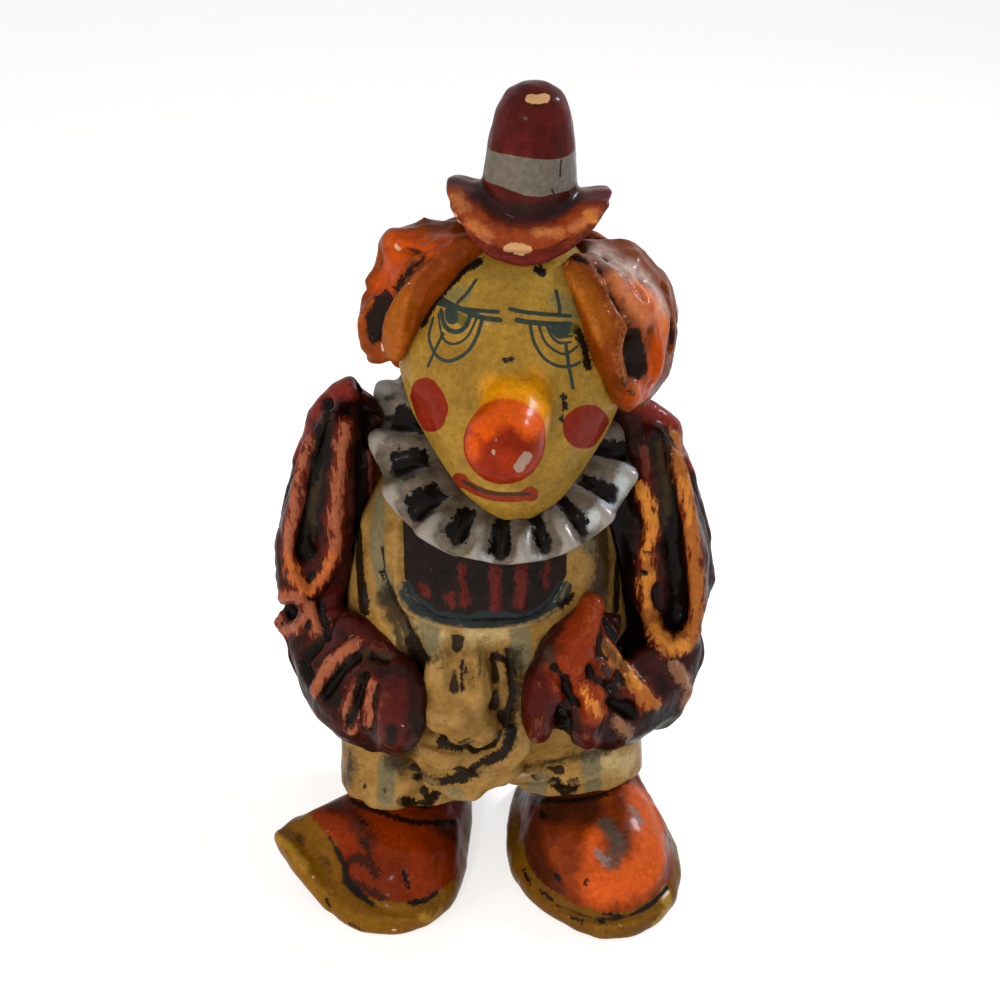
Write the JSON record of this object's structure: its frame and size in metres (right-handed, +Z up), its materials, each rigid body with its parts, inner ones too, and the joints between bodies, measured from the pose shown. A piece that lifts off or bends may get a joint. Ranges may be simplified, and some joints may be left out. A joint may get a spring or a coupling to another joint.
{
  "type": "clown money box",
  "caption": "Standing clown money box, cast hollow and painted, with a ruff, puffed cuffs, big shoes and a cocked hat, a coin slot in its back and a rubber stopper under its seat",
  "frame": {"origin": "On the table, under the middle of the figure's outline seen from above", "axes": "+Z up, the figure faces -Y, and +X is to the right as seen from the front"},
  "size_m": [0.1858, 0.1407, 0.3312],
  "materials": {
    "trouser_paint": "Cast plaster painted ochre-cream with grey-green stripes, a dark wash in the hollows and a yellowed gloss varnish",
    "bare_plaster": "Unpainted cast plaster, aged and dull",
    "shirt_paint": "Cast plaster painted near-black with dark red stripes, varnished",
    "ruff_paint": "Cast plaster painted silver-white with a black wash in the pleats, varnished",
    "sleeve_paint": "Cast plaster painted dark red with peach ridges and a black wash, varnished",
    "left_cuff_paint": "Cast plaster painted dark red with black folds, varnished",
    "right_cuff_paint": "Cast plaster painted orange-red with dark folds, varnished",
    "left_shoe_paint": "Cast plaster painted orange and worn, varnished",
    "right_shoe_paint": "Cast plaster painted bright orange and worn at the toe, varnished",
    "sole_paint": "Cast plaster painted mustard, varnished",
    "face_paint": "Cast plaster painted ochre-cream with brushed features, varnished",
    "nose_paint": "Cast plaster painted red-orange with a yellow bridge, high gloss varnish",
    "hair_paint": "Cast plaster painted orange with black creases, varnished",
    "hat_paint": "Cast plaster painted crimson with a silver-grey band, varnished",
    "stopper_rubber": "Matte black moulded rubber"
  },
  "bodies": {
    "figure": {"body_front_half": "trouser_paint", "body_back_half": "trouser_paint", "base_plate": "bare_plaster", "shirt_front": "shirt_paint", "ruff": "ruff_paint", "sleeve_left": "sleeve_paint", "sleeve_right": "sleeve_paint", "cuff_left": "left_cuff_paint", "cuff_right": "right_cuff_paint", "trouser_fold_upper": "trouser_paint", "trouser_fold_middle": "trouser_paint", "trouser_fold_lower": "trouser_paint", "trouser_leg_left": "trouser_paint", "trouser_leg_right": "trouser_paint", "shoe_left": "left_shoe_paint", "shoe_right": "right_shoe_paint", "sole_left": "sole_paint", "sole_right": "sole_paint", "head_shell": "face_paint", "nose": "nose_paint", "hair_left": "hair_paint", "hair_right": "hair_paint", "hair_back": "hair_paint", "hat_brim": "hat_paint", "hat_crown": "hat_paint"},
    "stopper": {"stopper": "stopper_rubber"}
  },
  "joints": [
    {"name": "stopper_pull", "type": "slide", "parent": "figure", "child": "stopper", "axis": [0, 0, -1], "range_m": [0, 0.02]}
  ]
}
